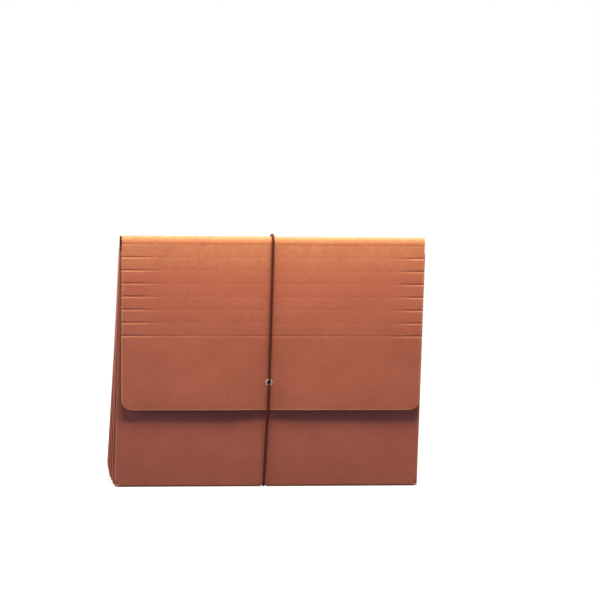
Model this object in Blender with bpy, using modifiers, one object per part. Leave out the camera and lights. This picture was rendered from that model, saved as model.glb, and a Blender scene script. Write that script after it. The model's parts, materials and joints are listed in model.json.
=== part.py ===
"""Expanding file wallet: a paper pocket with pleated sides, a scored flap, an eyelet and an elastic cord.

Metres, +Z up. The wallet stands on its base, its front faces -Y and its origin is under its middle.
"""
import math

import bmesh
import bpy
from mathutils import Matrix, Vector

MM = 0.001

# Sheet stock and clearances
PANEL_SHEET = 0.6 * MM
LEAF_SHEET = 0.4 * MM
GAP = 0.3 * MM

# Pocket
PANEL_WIDTH = 298.0 * MM
BACK_HEIGHT = 238.0 * MM
BASE_DEPTH = 46.0 * MM
PANEL_CORNER = 4.5 * MM
FRONT_SETBACK = 9.0 * MM

# Gussets, counted for one side
PLEATS = 4
PLEAT_WIDTH = 11.0 * MM
LEAF_ROWS = 12

# Flap
FLAP_WIDTH = 296.0 * MM
FLAP_CLEARANCE = 2.6 * MM
SCORE_PITCH = 12.7 * MM
SCORED_STRIPS = 7
TONGUE_LENGTH = 72.5 * MM
TONGUE_CORNER = 9.0 * MM
BEND_STEPS = 16

# Eyelet
EYELET_X = -1.5 * MM
EYELET_ABOVE_EDGE = 27.0 * MM
EYELET_BORE = 3.7 * MM
EYELET_WALL = 0.35 * MM
EYELET_FLANGE = 7.0 * MM
EYELET_ROLL = 6.2 * MM
EYELET_FLANGE_THICK = 0.5 * MM
EYELET_ROLL_THICK = 0.5 * MM
EYELET_STEPS = 32

# Elastic
CORD_DIAMETER = 2.4 * MM
CORD_LIFT = 0.45 * MM
CORD_BASE_X = -3.5 * MM
CORD_STEP = 9.0 * MM
KNOT_DIAMETER = 5.0 * MM
DENT_WIDTH = 6.0 * MM
DENT_HEIGHT = 3.4 * MM

ARC_STEPS = 8

# Worked out from the sizes above
LEAVES = 2 * PLEATS
LEAF_PITCH = LEAF_SHEET + GAP
MOUTH_DEPTH = LEAVES * LEAF_PITCH + GAP
TOP_DEPTH = MOUTH_DEPTH + 2 * PANEL_SHEET
LEAN = math.asin((BASE_DEPTH - TOP_DEPTH) / 2 / BACK_HEIGHT)
BEND_RADIUS = (MOUTH_DEPTH + FLAP_CLEARANCE) / 2 + PANEL_SHEET
BEND_Y = TOP_DEPTH / 2 - (PANEL_SHEET / 2 + BEND_RADIUS) * math.cos(LEAN)
BEND_Z = BACK_HEIGHT * math.cos(LEAN) - (PANEL_SHEET / 2 + BEND_RADIUS) * math.sin(LEAN)
FRONT_HEIGHT = BACK_HEIGHT - FRONT_SETBACK
LEAF_TOP = FRONT_HEIGHT * math.cos(LEAN)
LEAF_FOOT = PANEL_SHEET + GAP
BASE_WIDTH = PANEL_WIDTH - 2 * PANEL_CORNER
BASE_INNER = BASE_DEPTH / 2 - PANEL_SHEET / math.cos(LEAN) - GAP - PANEL_SHEET * math.tan(LEAN)
CORD_RADIUS = CORD_DIAMETER / 2
CORD_OFFSET = CORD_LIFT + CORD_RADIUS
KNOT_THICK = FLAP_CLEARANCE - EYELET_ROLL_THICK - 2 * GAP
EYELET_DROP = TONGUE_LENGTH - EYELET_ABOVE_EDGE
EYELET_BARREL = EYELET_BORE / 2 + EYELET_WALL

UPRIGHT = Matrix.Rotation(math.pi / 2, 4, "X")
ALONG_X = Matrix(((0, 0, 1, 0), (1, 0, 0, 0), (0, 1, 0, 0), (0, 0, 0, 1)))


def start_empty():
    """Clear the scene and return the collection that takes the parts."""
    for item in list(bpy.data.objects):
        bpy.data.objects.remove(item, do_unlink=True)
    parts = bpy.data.collections.new("expanding_file_wallet")
    bpy.context.scene.collection.children.link(parts)
    return parts


PARTS = start_empty()


def srgb(code):
    """Turn an sRGB hex colour into linear RGBA."""
    channels = [int(code[i:i + 2], 16) / 255 for i in (0, 2, 4)]
    linear = [c / 12.92 if c <= 0.04045 else ((c + 0.055) / 1.055) ** 2.4 for c in channels]
    return (*linear, 1.0)


def finish(name, code, roughness, metallic=0.0):
    """Make a Principled material."""
    made = bpy.data.materials.new(name)
    made.use_nodes = True
    shader = made.node_tree.nodes["Principled BSDF"]
    shader.inputs["Base Color"].default_value = srgb(code)
    shader.inputs["Roughness"].default_value = roughness
    shader.inputs["Metallic"].default_value = metallic
    return made


PANEL_PAPER = finish("red_fibre_paper", "B4694F", 0.75)
GUSSET_PAPER = finish("gusset_paper", "9C5647", 0.8)
NICKEL = finish("nickel_plate", "C9C2B4", 0.3, 1.0)
ELASTIC = finish("brown_elastic", "4A2A26", 0.85)


def empty(name, location, lean, parent=None):
    """Add an empty that carries parts on a leaning plane."""
    made = bpy.data.objects.new(name, None)
    made.location = location
    made.rotation_euler = (lean, 0, 0)
    made.parent = parent
    PARTS.objects.link(made)
    return made


def part(name, mesh, material, parent=None, location=(0, 0, 0), rotation=(0, 0, 0)):
    """Add a mesh as a named part."""
    made = bpy.data.objects.new(name, mesh)
    made.data.materials.append(material)
    made.parent = parent
    made.location = location
    made.rotation_euler = rotation
    PARTS.objects.link(made)
    return made


def mesh_of(curve):
    """Turn a curve object into a welded mesh and remove the curve."""
    PARTS.objects.link(curve)
    depsgraph = bpy.context.evaluated_depsgraph_get()
    mesh = bpy.data.meshes.new_from_object(curve.evaluated_get(depsgraph))
    bpy.data.objects.remove(curve, do_unlink=True)
    work = bmesh.new()
    work.from_mesh(mesh)
    bmesh.ops.remove_doubles(work, verts=work.verts, dist=0.001 * MM)
    bmesh.ops.recalc_face_normals(work, faces=work.faces)
    work.to_mesh(mesh)
    work.free()
    return mesh


def sheet(loops, thickness, turn):
    """Cut a flat outline with its holes and give it a thickness, centred on its plane."""
    data = bpy.data.curves.new("outline", "CURVE")
    data.dimensions = "2D"
    data.fill_mode = "BOTH"
    data.extrude = thickness / 2
    for loop in loops:
        spline = data.splines.new("POLY")
        spline.points.add(len(loop) - 1)
        for point, (u, v) in zip(spline.points, loop):
            point.co = (u, v, 0, 1)
        spline.use_cyclic_u = True
    mesh = mesh_of(bpy.data.objects.new("outline", data))
    mesh.transform(turn)
    return mesh


def arc(centre_u, centre_v, radius, first, last, steps=ARC_STEPS):
    """Points along an arc, with its angles in degrees."""
    angles = [math.radians(first + (last - first) * i / steps) for i in range(steps + 1)]
    return [(centre_u + radius * math.cos(a), centre_v + radius * math.sin(a)) for a in angles]


def dent(height):
    """The notch that the cord presses into a lower edge, from right to left."""
    half = DENT_WIDTH / 2
    shoulder = half / 2
    return [
        (CORD_BASE_X + half, height),
        (CORD_BASE_X + shoulder, height + DENT_HEIGHT),
        (CORD_BASE_X - shoulder, height + DENT_HEIGHT),
        (CORD_BASE_X - half, height),
    ]


def inner_y(z):
    """How far the inner face of the back or front panel stands from the middle at a height."""
    return BASE_DEPTH / 2 - PANEL_SHEET / math.cos(LEAN) - z * math.tan(LEAN)


def upright_panel(name, height, plane, y):
    """One large panel with rounded lower corners and the cord's notch in its lower edge."""
    half = PANEL_WIDTH / 2
    near = half - PANEL_CORNER
    foot = GAP + PANEL_CORNER
    outline = [(half, height), (-half, height)]
    outline += arc(-near, foot, PANEL_CORNER, 180, 270)
    outline += reversed(dent(GAP))
    outline += arc(near, foot, PANEL_CORNER, 270, 360)
    mesh = sheet([outline], PANEL_SHEET, UPRIGHT)
    part(name, mesh, PANEL_PAPER, plane, (0, y, 0))


def make_panels():
    """Back and front panels on their folds. The front stops short of the bend so that the flap can lift."""
    back = empty("back_fold", (0, BASE_DEPTH / 2, 0), LEAN)
    front = empty("front_fold", (0, -BASE_DEPTH / 2, 0), -LEAN)
    upright_panel("back_panel", BACK_HEIGHT - GAP, back, -PANEL_SHEET / 2)
    upright_panel("front_panel", FRONT_HEIGHT, front, PANEL_SHEET / 2)


def make_base():
    """Bottom panel. The cord runs in a crease across its underside."""
    half = BASE_WIDTH / 2
    outline = [(-half, 0)] + list(reversed(dent(0))) + [(half, 0)]
    outline += [(u, v + PANEL_SHEET) for u, v in reversed(outline)]
    mesh = sheet([outline], 2 * BASE_INNER, UPRIGHT)
    part("bottom_panel", mesh, PANEL_PAPER)


def make_leaf(side, number):
    """One gusset leaf between two fold lines. It is flat at the mouth and fans out towards the base."""
    outer = PANEL_WIDTH / 2
    starts_outside = number % 2 == 1
    work = bmesh.new()
    bmesh.ops.create_grid(work, x_segments=1, y_segments=LEAF_ROWS, size=0.5)
    for vert in work.verts:
        across = vert.co.x + 0.5
        rise = vert.co.y + 0.5
        outside = 1 - across if starts_outside else across
        foot = LEAF_FOOT + PANEL_CORNER * outside
        z = foot + (LEAF_TOP - foot) * rise
        slant = (2 * inner_y(z) - MOUTH_DEPTH) / LEAVES
        start = inner_y(z) - GAP - LEAF_SHEET / 2 - (number - 1) * (slant + LEAF_PITCH)
        x = side * (outer - PLEAT_WIDTH * (1 - outside))
        vert.co = (x, start - slant * across, z)
    bmesh.ops.recalc_face_normals(work, faces=work.faces)
    mesh = bpy.data.meshes.new("leaf")
    work.to_mesh(mesh)
    work.free()
    name = "left" if side < 0 else "right"
    leaf = part(f"{name}_gusset_leaf_{number}", mesh, GUSSET_PAPER)
    wall = leaf.modifiers.new("wall", "SOLIDIFY")
    wall.thickness = LEAF_SHEET
    wall.offset = 0


def make_bend():
    """The rounded bend that takes the back panel over into the flap."""
    trim = math.degrees(GAP / BEND_RADIUS)
    first = math.degrees(LEAN) + trim
    last = 180 - first
    outside = arc(0, 0, BEND_RADIUS + PANEL_SHEET / 2, first, last, BEND_STEPS)
    inside = arc(0, 0, BEND_RADIUS - PANEL_SHEET / 2, last, first, BEND_STEPS)
    mesh = sheet([outside + inside], FLAP_WIDTH, ALONG_X)
    bend = part("flap_bend", mesh, PANEL_PAPER, None, (0, BEND_Y, BEND_Z))
    bend.data.shade_smooth()
    bend.data.set_sharp_from_angle(angle=math.radians(40))


def make_strip(number, parent, location):
    """One flat strip of the flap. Its origin is on the score line above it, on the inner face."""
    work = bmesh.new()
    bmesh.ops.create_cube(work, size=1)
    bmesh.ops.scale(work, verts=work.verts, vec=(FLAP_WIDTH, PANEL_SHEET, SCORE_PITCH - GAP))
    bmesh.ops.translate(work, verts=work.verts, vec=(0, -PANEL_SHEET / 2, -SCORE_PITCH / 2))
    mesh = bpy.data.meshes.new("strip")
    work.to_mesh(mesh)
    work.free()
    return part(f"flap_strip_{number}", mesh, PANEL_PAPER, parent, location)


def make_tongue(parent):
    """The unscored end of the flap, with rounded corners and the eyelet's hole."""
    half = FLAP_WIDTH / 2
    near = half - TONGUE_CORNER
    low = -TONGUE_LENGTH + TONGUE_CORNER
    outline = [(half, -GAP / 2), (-half, -GAP / 2)]
    outline += arc(-near, low, TONGUE_CORNER, 180, 270)
    outline += arc(near, low, TONGUE_CORNER, 270, 360)
    hole = arc(EYELET_X, -EYELET_DROP, EYELET_BARREL + GAP, 0, 360, EYELET_STEPS)[:-1]
    mesh = sheet([outline, hole], PANEL_SHEET, UPRIGHT)
    mesh.transform(Matrix.Translation((0, -PANEL_SHEET / 2, 0)))
    return part("flap_tongue", mesh, PANEL_PAPER, parent, (0, 0, -SCORE_PITCH))


def make_eyelet(tongue):
    """Turned eyelet: a domed flange in front, a barrel, and a lip rolled over behind."""
    bore = EYELET_BORE / 2
    front = PANEL_SHEET + GAP
    top = front + EYELET_FLANGE_THICK
    crown = (bore + EYELET_FLANGE / 2) / 2
    profile = [
        (bore, top - EYELET_FLANGE_THICK / 2),
        (crown, top),
        (EYELET_FLANGE / 2, front),
        (EYELET_BARREL, front),
        (EYELET_BARREL, -GAP),
        (EYELET_ROLL / 2, -GAP),
        (EYELET_ROLL / 2, -GAP - EYELET_ROLL_THICK / 2),
        (EYELET_BARREL, -GAP - EYELET_ROLL_THICK),
        (bore, -GAP - EYELET_ROLL_THICK / 2),
    ]
    work = bmesh.new()
    verts = [work.verts.new((radius, 0, height)) for radius, height in profile]
    for first, second in zip(verts, verts[1:] + verts[:1]):
        work.edges.new((first, second))
    mesh = bpy.data.meshes.new("eyelet")
    work.to_mesh(mesh)
    work.free()
    place = (EYELET_X, 0, -EYELET_DROP)
    eyelet = part("eyelet", mesh, NICKEL, tongue, place, (math.pi / 2, 0, 0))
    turn = eyelet.modifiers.new("turn", "SCREW")
    turn.steps = EYELET_STEPS
    turn.render_steps = EYELET_STEPS
    turn.use_merge_vertices = True
    turn.merge_threshold = 0.001 * MM
    turn.use_smooth_shade = True


def make_knot(tongue):
    """The cord's two ends, knotted flat behind the eyelet."""
    work = bmesh.new()
    bmesh.ops.create_uvsphere(work, u_segments=16, v_segments=8, radius=KNOT_DIAMETER / 2)
    bmesh.ops.scale(work, verts=work.verts, vec=(1, KNOT_THICK / KNOT_DIAMETER, 1))
    mesh = bpy.data.meshes.new("knot")
    work.to_mesh(mesh)
    work.free()
    mesh.shade_smooth()
    behind = GAP + EYELET_ROLL_THICK + KNOT_THICK / 2
    part("elastic_knot", mesh, ELASTIC, tongue, (EYELET_X, behind, -EYELET_DROP))


def on_back(height, out=CORD_OFFSET):
    """A cord point beside the back panel, by its height up the panel."""
    y = BASE_DEPTH / 2 - height * math.sin(LEAN) + out * math.cos(LEAN)
    return (y, height * math.cos(LEAN) + out * math.sin(LEAN))


def on_front(height, out=CORD_OFFSET):
    """A cord point beside the front panel, by its height up the panel."""
    y, z = on_back(height, out)
    return (-y, z)


def on_flap(down, out=CORD_OFFSET):
    """A cord point beside the flap's face, by its distance below the bend."""
    across = BEND_RADIUS + PANEL_SHEET / 2 + out
    y = BEND_Y - across * math.cos(LEAN) - down * math.sin(LEAN)
    return (y, BEND_Z + across * math.sin(LEAN) - down * math.cos(LEAN))


def over_bend(degrees):
    """A cord point over the bend, by its angle up from the back."""
    reach = BEND_RADIUS + PANEL_SHEET / 2 + CORD_OFFSET
    angle = math.radians(degrees)
    return (BEND_Y + reach * math.cos(angle), BEND_Z + reach * math.sin(angle))


def cord_route():
    """The cord's route from the eyelet over the top, round the back and base, and up to the eyelet."""
    scored = SCORED_STRIPS * SCORE_PITCH
    eyelet = scored + EYELET_DROP
    edge = scored + TONGUE_LENGTH
    flange = GAP + EYELET_FLANGE_THICK + CORD_OFFSET
    end = CORD_RADIUS + GAP
    up_front = BACK_HEIGHT - edge
    under = CORD_RADIUS + GAP
    side = [
        on_flap(eyelet - end, flange),
        on_flap(eyelet - end - 4 * MM, flange),
        on_flap(eyelet - end - 14 * MM),
        on_flap(scored),
        on_flap(scored / 2),
        on_flap(8 * MM),
        on_flap(0),
        over_bend(150),
        over_bend(120),
        over_bend(90),
        over_bend(60),
        over_bend(30),
        on_back(BACK_HEIGHT),
        on_back(BACK_HEIGHT - 8 * MM),
        on_back(BACK_HEIGHT * 0.7),
        on_back(BACK_HEIGHT * 0.4),
        on_back(14 * MM),
        on_back(6 * MM),
        on_back(3 * MM, CORD_OFFSET * 0.8),
        (BASE_DEPTH / 2 - 0.5 * MM, under + 0.3 * MM),
        (BASE_DEPTH / 2 - 4 * MM, under),
        (0, under),
        (-BASE_DEPTH / 2 + 4 * MM, under),
        (-BASE_DEPTH / 2 + 0.5 * MM, under + 0.3 * MM),
        on_front(3 * MM, CORD_OFFSET * 0.8),
        on_front(6 * MM),
        on_front(14 * MM),
        on_front(up_front * 0.5),
        on_front(up_front - 16 * MM),
        on_front(up_front, FLAP_CLEARANCE + PANEL_SHEET + CORD_OFFSET),
        on_flap(edge - 8 * MM),
        on_flap(eyelet + end + 10 * MM),
        on_flap(eyelet + end + 4 * MM, flange),
        on_flap(eyelet + end, flange),
    ]
    return [(cord_x(z), y, z) for y, z in side]


def cord_x(z):
    """The cord leans a little to the left on its way down."""
    top = BEND_Z
    return CORD_BASE_X + (EYELET_X - CORD_BASE_X) * min(1, 2 * max(0, z) / top)


def smooth(points):
    """Read points from a smooth curve through a route."""
    points = [Vector(p) for p in points]
    padded = [2 * points[0] - points[1]] + points + [2 * points[-1] - points[-2]]
    read = []
    for before, first, second, after in zip(padded, padded[1:], padded[2:], padded[3:]):
        span = (second - first).length
        pull_in = (second - before) * span / (span + (first - before).length)
        pull_out = (after - first) * span / (span + (after - second).length)
        count = max(1, round(span / CORD_STEP))
        for i in range(count):
            t = i / count
            read.append(
                first * (2 * t ** 3 - 3 * t ** 2 + 1)
                + pull_in * (t ** 3 - 2 * t ** 2 + t)
                + second * (3 * t ** 2 - 2 * t ** 3)
                + pull_out * (t ** 3 - t ** 2)
            )
    read.append(points[-1])
    return read


def make_cord():
    """The elastic cord, one round tube along its route."""
    data = bpy.data.curves.new("elastic", "CURVE")
    data.dimensions = "3D"
    data.bevel_depth = CORD_RADIUS
    data.bevel_resolution = 2
    data.use_fill_caps = True
    route = smooth(cord_route())
    spline = data.splines.new("POLY")
    spline.points.add(len(route) - 1)
    for point, place in zip(spline.points, route):
        point.co = (*place, 1)
    mesh = mesh_of(bpy.data.objects.new("elastic", data))
    mesh.shade_smooth()
    part("elastic_cord", mesh, ELASTIC)


def make_flap():
    """The flap's strips and tongue, each hung from the score line above it."""
    hinge = empty("flap_hinge", (0, BEND_Y, BEND_Z), -LEAN)
    carrier = hinge
    place = (0, -BEND_RADIUS + PANEL_SHEET / 2, 0)
    for number in range(1, SCORED_STRIPS + 1):
        carrier = make_strip(number, carrier, place)
        place = (0, 0, -SCORE_PITCH)
    return make_tongue(carrier)


def main():
    """Build every part."""
    make_panels()
    make_base()
    for side in (-1, 1):
        for number in range(1, LEAVES + 1):
            make_leaf(side, number)
    make_bend()
    tongue = make_flap()
    make_eyelet(tongue)
    make_knot(tongue)
    make_cord()


main()
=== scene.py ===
"""The looks of an expanding file wallet: fibre paper, pressed scores, pleats, an eyelet and an elastic."""
import json
import math

import bmesh
import bpy
from bpy.props import FloatProperty, FloatVectorProperty, IntProperty, PointerProperty
from mathutils import Matrix, Vector, noise


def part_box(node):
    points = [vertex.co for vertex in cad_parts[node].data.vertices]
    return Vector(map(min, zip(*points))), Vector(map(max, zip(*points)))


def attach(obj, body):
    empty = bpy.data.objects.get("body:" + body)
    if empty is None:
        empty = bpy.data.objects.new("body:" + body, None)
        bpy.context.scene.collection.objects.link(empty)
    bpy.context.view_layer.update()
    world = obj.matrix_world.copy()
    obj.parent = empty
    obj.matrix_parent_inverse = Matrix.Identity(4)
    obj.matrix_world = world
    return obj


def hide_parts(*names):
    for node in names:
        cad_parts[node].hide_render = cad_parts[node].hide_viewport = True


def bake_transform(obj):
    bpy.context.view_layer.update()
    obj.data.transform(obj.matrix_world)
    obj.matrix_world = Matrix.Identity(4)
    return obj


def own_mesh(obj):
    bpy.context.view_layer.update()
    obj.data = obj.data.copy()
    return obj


bl_info = {
    "name": "Expanding File Wallet",
    "version": (1, 0, 0),
    "blender": (4, 5, 0),
    "location": "View3D > Sidebar > Wallet",
    "description": "Dresses a file wallet with paper, pleats, an eyelet and an elastic cord",
    "category": "Object",
}

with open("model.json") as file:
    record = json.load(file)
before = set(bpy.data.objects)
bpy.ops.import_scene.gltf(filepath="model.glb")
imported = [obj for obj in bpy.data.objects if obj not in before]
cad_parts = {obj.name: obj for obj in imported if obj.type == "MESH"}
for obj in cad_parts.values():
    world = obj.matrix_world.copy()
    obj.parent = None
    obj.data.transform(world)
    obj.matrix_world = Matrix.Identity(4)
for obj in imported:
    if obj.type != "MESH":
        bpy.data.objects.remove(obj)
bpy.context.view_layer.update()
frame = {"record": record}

MM = 0.001
PIVOTS = {j["name"]: Vector(j["pos_m"]) for j in frame["record"]["behaviour"]["joints"]}

# The flap's plane, from its score lines. Three of the scores are joints.
BEND_CENTRE = PIVOTS["flap_fold"]
STRIPS = 7
FOLDED_SCORES = (3, 5, 7)
FOLDED_RUN = PIVOTS["tongue_score_fold"] - PIVOTS["upper_score_fold"]
DOWN = FOLDED_RUN.normalized()
PITCH = FOLDED_RUN.length / (FOLDED_SCORES[-1] - FOLDED_SCORES[0])
FIRST_SCORE = PIVOTS["upper_score_fold"] - DOWN * PITCH * FOLDED_SCORES[0]
OUT = Vector((0, DOWN.z, -DOWN.y))
LEAN = math.asin(-DOWN.y)
ACROSS = Vector((1, 0, 0))
FRONT_TO_BACK = Vector((0, 1, 0))
UP = Vector((0, 0, 1))

# Sheet stock and the places of the panels
SHEET = 0.6 * MM
LEAF_SHEET = 0.4 * MM
LEAF_GAP = 0.3 * MM
LEAF_PITCH = LEAF_SHEET + LEAF_GAP
LEAVES = 8
PLEAT_WIDTH = 11.0 * MM
HALF_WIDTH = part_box("front_panel")[1][0]
HALF_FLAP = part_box("flap_tongue")[1][0]
HALF_DEPTH = -PIVOTS["front_panel_swing"].y
FRONT_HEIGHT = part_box("front_panel")[1][2] / math.cos(LEAN)
LEAF_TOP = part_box("left_gusset_leaf_1")[1][2]
TONGUE_LENGTH = (PIVOTS["tongue_score_fold"].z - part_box("flap_tongue")[0][2]) / math.cos(LEAN)
FLAP_LENGTH = STRIPS * PITCH + TONGUE_LENGTH
MOUTH = LEAVES * LEAF_PITCH + LEAF_GAP
BEND_RADIUS = abs((BEND_CENTRE - FIRST_SCORE).dot(OUT)) + SHEET / 2
BACK_UP = Vector((0, -math.sin(LEAN), math.cos(LEAN)))
BACK_OUT = Vector((0, math.cos(LEAN), math.sin(LEAN)))
BACK_FOOT = Vector((0, HALF_DEPTH, 0))
FRONT_FOOT = Vector((0, -HALF_DEPTH, 0))
BACK_HEIGHT = (BEND_CENTRE + BACK_OUT * BEND_RADIUS - BACK_FOOT).dot(BACK_UP)

# Folds and corners. The bend is a rounded box, and the higher its power, the squarer it is.
BEND_POWER = 2.4
BEND_RISE = 2.2 * MM
FOLD_RADIUS = 1.8 * MM
FOLD_RUN = 1.5 * MM
FOLD_CLEAR = 0.05 * MM
CORNER_RADIUS = 4.5 * MM
CORNER_FOOT = 0.45 * MM
CORNER_CREASE = 8.0 * MM
CREASE_DEPTH = 0.9 * MM
CREASE_WIDTH = 0.7 * MM
CREASE_BAND = (9.0 * MM, 4.0 * MM)
FOLD_BAND = (3.5 * MM, 0.5 * MM)
BASE_INSET = 0.4 * MM
BASE_CORNER = 5.0 * MM
BASE_CORNER_INSET = 2.2 * MM

# Small departures of the flap and the pleats from flat sheets
FLAP_RUN_IN = 3.0 * MM
FLAP_WAVE = 0.4
STRIP_FULL = 0.04 * MM
SCORE_ENDS = 8.0 * MM
SCORE_RIGHT = 0.65
SCORE_MEAN = 0.75
SCORE_SPREAD = 0.5
FIRST_SCORE_SHARE = 0.4
LAST_SCORE_MIDDLE = 0.4
TONGUE_CORNER = 10.5 * MM
TONGUE_LIFT = 1.0 * MM
LIFT_REACH = 45.0 * MM
LIFT_BESIDE_CORD = (4.0 * MM, 40.0 * MM)
CALM_ROUND_EYELET = (3.0 * MM, 20.0 * MM)
PLEAT_SWELL = 2.8 * MM
PLEAT_SWELL_FOOT = 14.0 * MM
PLEAT_BOW = 0.12 * MM
PLEAT_FOOT = 0.1 * MM

# Sizes of uneven patches in millimetres, and what sets one piece's patches apart from another's.
# Panels are calm near their upper and lower edges.
WAVE_SIZE = 90
SCORE_PATCH = 35
PLEAT_PATCH_ACROSS = 8
PLEAT_PATCH_UP = 40
CALM_TOP = 20.0 * MM
CALM_FOOT = 30.0 * MM
BACK_SEED = 11
FRONT_SEED = 23
FLAP_SEED = 3
SCORE_SEED = 5
PLEAT_SEED = 7

# Shares of the pale colour. On the panels' edges and bottom folds it is abrasion. On the flap's edges and
# hem, the bend's crown and shoulder and the pleats' ridges it is abrasion and a painted highlight. On the top
# strips, the lips below the scores and the corner creases it is a painted highlight.
# The flap's side edges and hem: abrasion and a painted highlight where the edge catches the light.
EDGE_WEAR_AND_HIGHLIGHT = 0.6
EDGE_BAND = 1.8 * MM
PANEL_EDGE_WEAR = 0.3
PANEL_EDGE_BAND = 2.2 * MM
FOLD_WEAR = 0.12
# A painted highlight along the pressed diagonal creases at the lower corners.
CREASE_HIGHLIGHT = 0.8
# The pleats' outer ridges: abrasion and a painted highlight.
RIDGE_WEAR_AND_HIGHLIGHT = 0.1
RIDGE_BAND = 1.6 * MM
# The bend's crown and front shoulder: abrasion and a painted highlight from the light overhead.
CROWN_WEAR_AND_HIGHLIGHT = 0.5
CROWN_PLACE = 0.6
CROWN_WIDTH = 0.2
SHOULDER_WEAR_AND_HIGHLIGHT = 0.3
SHOULDER_BAND = (0.6, 0.85)
# The top strips are painted paler, fading downwards: painted light from the lamp overhead.
TOP_STRIPS = 3
TOP_STRIPS_HIGHLIGHT = 0.3
# A painted highlight: the pale line just below each score, where its lower lip catches the light from above.
STRIP_LIP_HIGHLIGHT = 0.5
TONGUE_LIP_HIGHLIGHT = 0.6
LIP_BELOW = 1.1 * MM
LIP_WIDTH = 0.5 * MM

# Shares of the dark colour painted as shade in the scores and the pleats' valleys, and the gussets' darker
# copy of the paper, also painted shade
SCORE_DARK = 0.28
SCORE_DARK_WIDTH = 0.5 * MM
VALLEY_DARK = 0.5
VALLEY_BAND = (0.9, 0.5)
# The gussets' copy of the paper is drawn a little darker: painted shade on the sides.
GUSSET_PAINTED_SHADE = 0.98

# Steps of the sheets' grids
GRID_STEP = 5.0 * MM
BASE_STEP = 6.0 * MM
STRIP_STEP = 2.5 * MM
TONGUE_STEP = 4.0 * MM
EDGE_STEP = 1.0 * MM
LEAST_STEP = 0.4 * MM
CORNER_REACH = 10.0 * MM
STRIP_EDGE_REACH = 6.0 * MM
SCORE_REACH = 2.4 * MM
SCORE_STEP = 0.45 * MM
HEM_REACH = 9.0 * MM
HEM_STEP = 0.7 * MM
FOLD_ZONE = (0, 12.0 * MM, 0.6 * MM)
LEAF_COLUMNS = 6
LEAF_ROWS = 48
BEND_ROWS = 32
BEND_NARROWS = (0.55, 0.4)

# Eyelet and elastic
EYELET = Vector(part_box("eyelet")[0]).lerp(Vector(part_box("eyelet")[1]), 0.5)
EYELET_DOWN = (EYELET - FIRST_SCORE).dot(DOWN)
EYELET_BORE = 3.7 * MM
EYELET_FLANGE = 7.0 * MM
EYELET_ROLL = 6.2 * MM
EYELET_LIP = 0.5 * MM
EYELET_SEAT = 0.1 * MM
EYELET_WALL = 0.4 * MM
EYELET_SIDES = 48
EYELET_MERGE = 0.001 * MM
EYELET_REACH = 6.0 * MM
EYELET_STEP = 0.6 * MM
BORE_MARGIN = 0.6 * MM
CORD_BASE_X = -3.5 * MM
CORD_HEM_X = -1.6 * MM
CORD_LIFT = 0.15 * MM
CORD_UNDER = 0.1 * MM
CORD_TURN = 2.0 * MM
CORD_STEP = 1.5 * MM
CORD_SPACING = 12.0 * MM
CORD_MARGIN = 6.0 * MM
CORD_ARC_POINTS = 12
CORD_LEANS = (0.6, 0.1)
CORD_THINS = 0.28
CORD_THINS_FROM = 0.75
DENT_HEIGHT = 3.4 * MM
DENT_WIDTH = 1.8 * MM
DENT_FADE = 14.0 * MM
DENT_ZONE = (CORD_BASE_X, 8.0 * MM, 0.8 * MM)
KNOT_POINTS = 48
KNOT_TURNS = 2
KNOT_LOBES = 1.5
KNOT_REACH = 1.35 * MM
KNOT_SPREAD = 0.45 * MM
KNOT_HEIGHT = 0.25 * MM
KNOT_BEHIND = 0.95 * MM
KNOT_STEP = 0.6 * MM
KNOT_THIN = 0.5

# Stage
SENSOR = 36.0
FAR = 50.0
FLOOR_HALF = 8.0
FLOOR_NEAR = 0.2
FLOOR_FAR = 0.6
LIGHT_AIM = Vector((0, -0.02, 0.12))
KEY_SIZE = (0.5, 0.12)
SIDE_SIZE = (0.8, 0.8)
BACK_SIZE = (1.0, 0.8)


def linear(code):
    """Turn an sRGB hex colour into linear RGB."""
    parts = [int(code[i:i + 2], 16) / 255 for i in (0, 2, 4)]
    return tuple(c / 12.92 if c <= 0.04045 else ((c + 0.055) / 1.055) ** 2.4 for c in parts)


class WalletPaper(bpy.types.PropertyGroup):
    """Sizes and colours of the fibre paper."""

    face: FloatVectorProperty(
        name="Face", description="Colour of the paper's face", subtype="COLOR", default=linear("B06152"))
    shade: FloatVectorProperty(
        name="Cloud", description="Darker clouds in the pulp", subtype="COLOR", default=linear("A85B4C"))
    fibre: FloatVectorProperty(
        name="Fibre", description="Pale fibre flecks", subtype="COLOR", default=linear("C27C62"))
    speck: FloatVectorProperty(
        name="Speck", description="Dark specks of bark", subtype="COLOR", default=linear("6F3228"))
    # This pale colour serves both real abrasion and painted highlights on edges, the crown, the top strips,
    # score lips, creases and ridges.
    rubbed_and_highlight: FloatVectorProperty(
        name="Rubbed", description="Colour of rubbed edges and folds", subtype="COLOR",
        default=linear("DDAA78"))
    score_depth: FloatProperty(
        name="Score depth", description="Depth of a pressed score at its ends", unit="LENGTH",
        default=0.3 * MM)
    score_width: FloatProperty(
        name="Score width", description="Half width of a pressed score", unit="LENGTH", default=0.75 * MM)
    score_middle: FloatProperty(
        name="Score middle", description="Share of the depth left in the middle", subtype="FACTOR",
        default=0.1, min=0, max=1)
    score_reach: FloatProperty(
        name="Score reach", description="How far a score runs in before it fades", unit="LENGTH",
        default=44 * MM)
    wave: FloatProperty(
        name="Wave", description="How far a large panel is out of flat", unit="LENGTH", default=0.35 * MM)


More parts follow.
